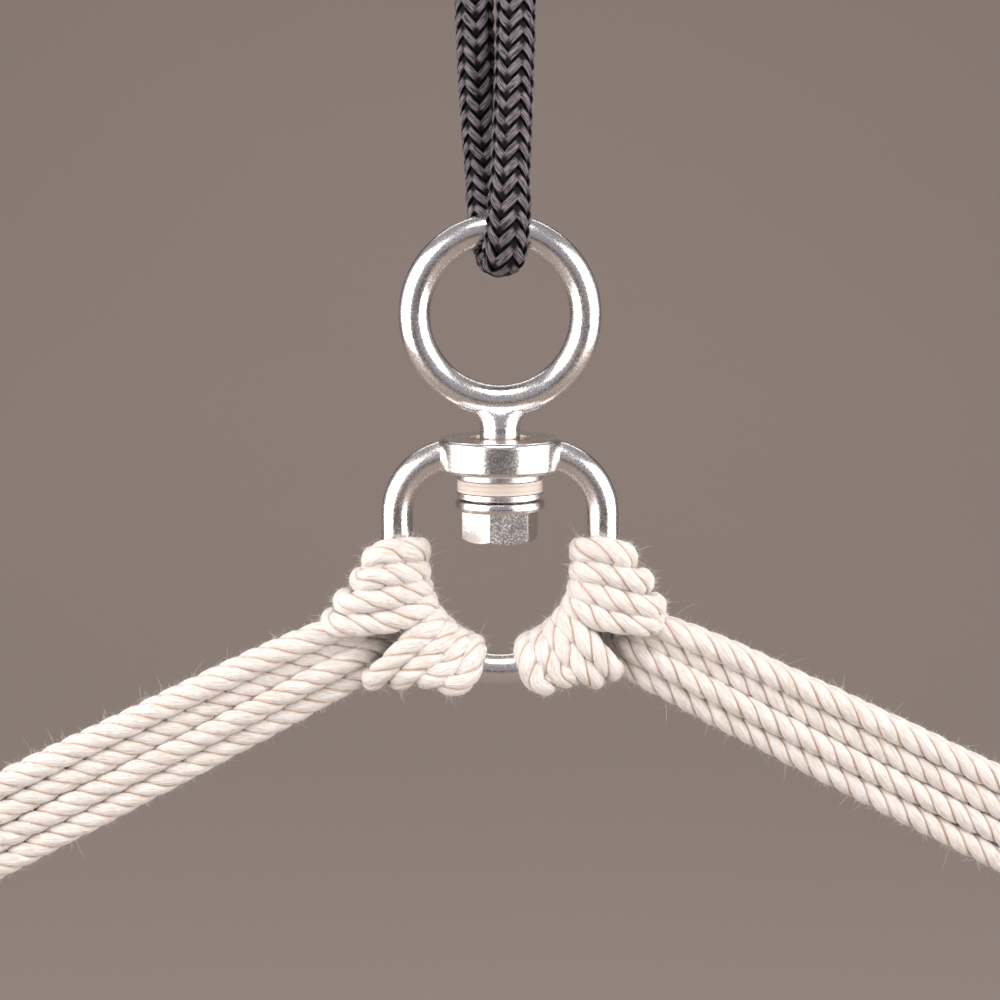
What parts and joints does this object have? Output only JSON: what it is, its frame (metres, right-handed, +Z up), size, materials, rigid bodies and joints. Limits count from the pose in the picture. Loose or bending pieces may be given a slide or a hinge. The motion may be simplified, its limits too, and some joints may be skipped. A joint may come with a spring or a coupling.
{
  "type": "swing suspension swivel",
  "caption": "Ball-bearing swivel with a ring eye and a closed bow, hung from a braided rope sling, with bundles of cotton strops hitched to both sides of the bow.",
  "frame": {"origin": "axis of the hook that the rope sling hangs on, in the middle of its upper bight", "axes": "+Z up along the swivel's axis, +X across the bow towards the right-hand bundle, +Y away from the front"},
  "size_m": [0.3889, 0.0308, 0.317],
  "materials": {
    "black_rope": "braided polyester with a slight sheen",
    "black_sleeve": "tight whipping of black twine",
    "steel": "polished stainless steel with fine grain",
    "race_steel": "ground steel",
    "ball_steel": "polished",
    "cage_plastic": "dull",
    "bush_bronze": "satin sintered bronze",
    "cotton": "three-strand cotton rope with loose fibres",
    "twine": "tight cotton twine"
  },
  "bodies": {
    "sling": {"sling_rope": "black_rope", "sling_sleeve": "black_sleeve"},
    "eye": {"eye": "steel", "flange_nut": "steel", "bearing_lower_race": "race_steel"},
    "cage": {"bearing_cage": "cage_plastic", "bearing_balls": "ball_steel"},
    "bow": {"bow": "steel", "collar_bush": "bush_bronze", "bearing_upper_race": "race_steel", "left_hitch": "cotton", "left_strop_1": "cotton", "left_strop_2": "cotton", "left_strop_3": "cotton", "left_strop_4": "cotton", "left_whipping": "twine", "right_hitch": "cotton", "right_strop_1": "cotton", "right_strop_2": "cotton", "right_strop_3": "cotton", "right_strop_4": "cotton", "right_whipping": "twine"}
  },
  "joints": [
    {"name": "ring_swing", "type": "hinge", "parent": "sling", "child": "eye", "pos_m": [0, 0, -0.10475], "axis": [1, 0, 0], "range_deg": [-45, 45]},
    {"name": "swivel", "type": "hinge", "parent": "eye", "child": "bow", "pos_m": [0, 0, -0.165], "axis": [0, 0, 1], "continuous": true},
    {"name": "cage_roll", "type": "hinge", "parent": "eye", "child": "cage", "pos_m": [0, 0, -0.165], "axis": [0, 0, 1], "continuous": true}
  ],
  "couplings": [
    {"joint": "cage_roll", "follows": "swivel", "ratio": 0.5}
  ]
}
